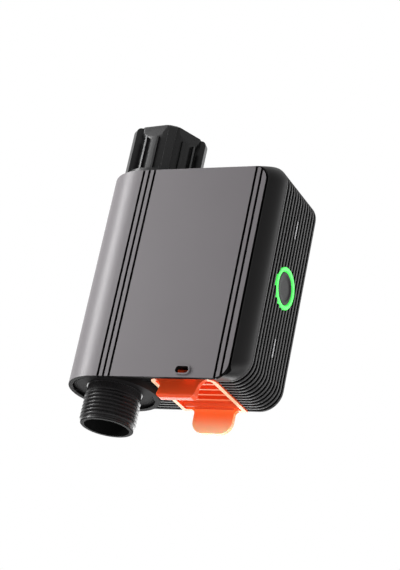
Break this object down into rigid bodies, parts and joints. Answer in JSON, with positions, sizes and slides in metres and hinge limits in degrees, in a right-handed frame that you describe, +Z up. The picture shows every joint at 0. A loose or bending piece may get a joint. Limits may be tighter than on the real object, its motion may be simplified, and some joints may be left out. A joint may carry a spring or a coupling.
{
  "type": "smart water valve",
  "caption": "Battery-powered smart water valve for a garden tap, with a winged inlet nut, threaded outlet, ribbed housing, lit push button and a latch that frees its front cover.",
  "frame": {"origin": "on the pipe axis, where the end of the tap presses on the inlet washer", "axes": "+Z up along the pipe out of the inlet, -Y out of the front panel, +X towards the push button"},
  "size_m": [0.0951, 0.049, 0.1522],
  "materials": {
    "panel_grey": "fine satin grain",
    "shell_dark": "satin",
    "end_dark": "satin",
    "thread_dark": "satin",
    "nut_black": "satin",
    "latch_orange": "semi-gloss",
    "ring_green": "lit light guide",
    "cap_grey": "satin",
    "inlay_pale": "satin",
    "body_plastic": "glass-filled moulding",
    "inner_plastic": "satin",
    "white_plastic": "satin",
    "rubber_black": "matt",
    "brass": "turned",
    "steel": "bright",
    "ball_chrome": "polished",
    "motor_metal": "plated",
    "shield_metal": "tinned",
    "board_green": "solder mask",
    "switch_black": "satin",
    "cell_skin": "printed sleeve, bare of words"
  },
  "bodies": {
    "housing": {"rear_housing": "shell_dark", "outlet_cap": "end_dark", "inlet_cap": "end_dark", "valve_body": "body_plastic", "inlet_tail": "brass", "inlet_washer": "rubber_black", "inlet_filter": "steel", "outlet_spigot": "thread_dark", "ball_seats": "white_plastic", "stem_bush": "brass", "stem_seals": "rubber_black", "turbine_axle": "steel", "turbine_spiders": "white_plastic", "gear_motor": "motor_metal", "motor_bracket": "steel", "battery_tray": "inner_plastic", "battery_cells": "cell_skin", "battery_springs": "steel", "battery_contacts": "steel", "main_board": "board_green", "radio_module": "shield_metal", "tact_switch": "switch_black", "status_leds": "white_plastic", "light_ring": "ring_green", "rib_inlays": "inlay_pale", "inner_lid": "inner_plastic", "lid_screws": "steel", "cover_gasket": "rubber_black", "latch_pin": "steel"},
    "cover": {"front_cover": "panel_grey"},
    "latch": {"latch_lever": "latch_orange"},
    "button": {"button_cap": "cap_grey"},
    "nut": {"inlet_nut": "nut_black"},
    "turbine": {"flow_turbine": "white_plastic"},
    "ball": {"valve_ball": "ball_chrome", "valve_stem": "steel", "valve_gear": "white_plastic"},
    "pinion": {"drive_pinion": "brass"}
  },
  "joints": [
    {"name": "cover_lift", "type": "slide", "parent": "housing", "child": "cover", "axis": [0, -1, 0], "range_m": [0, 0.045]},
    {"name": "latch_swing", "type": "hinge", "parent": "housing", "child": "latch", "pos_m": [0.0403, 0.0223, -0.1164], "axis": [1, 0, 0], "range_deg": [0, 35]},
    {"name": "button_press", "type": "slide", "parent": "housing", "child": "button", "axis": [-1, 0, 0], "range_m": [0, 0.0006], "stiffness_N_per_m": 800},
    {"name": "nut_spin", "type": "hinge", "parent": "housing", "child": "nut", "pos_m": [0, 0, 0], "axis": [0, 0, 1], "continuous": true},
    {"name": "turbine_spin", "type": "hinge", "parent": "housing", "child": "turbine", "pos_m": [0, 0, -0.08504], "axis": [0, 0, 1], "continuous": true},
    {"name": "ball_turn", "type": "hinge", "parent": "housing", "child": "ball", "pos_m": [0, 0, -0.03966], "axis": [1, 0, 0], "range_deg": [0, 90]},
    {"name": "pinion_turn", "type": "hinge", "parent": "housing", "child": "pinion", "pos_m": [0.027, 0.01025, -0.02941], "axis": [1, 0, 0], "range_deg": [-180, 0]}
  ],
  "couplings": [
    {"joint": "pinion_turn", "follows": "ball_turn", "ratio": -2}
  ]
}
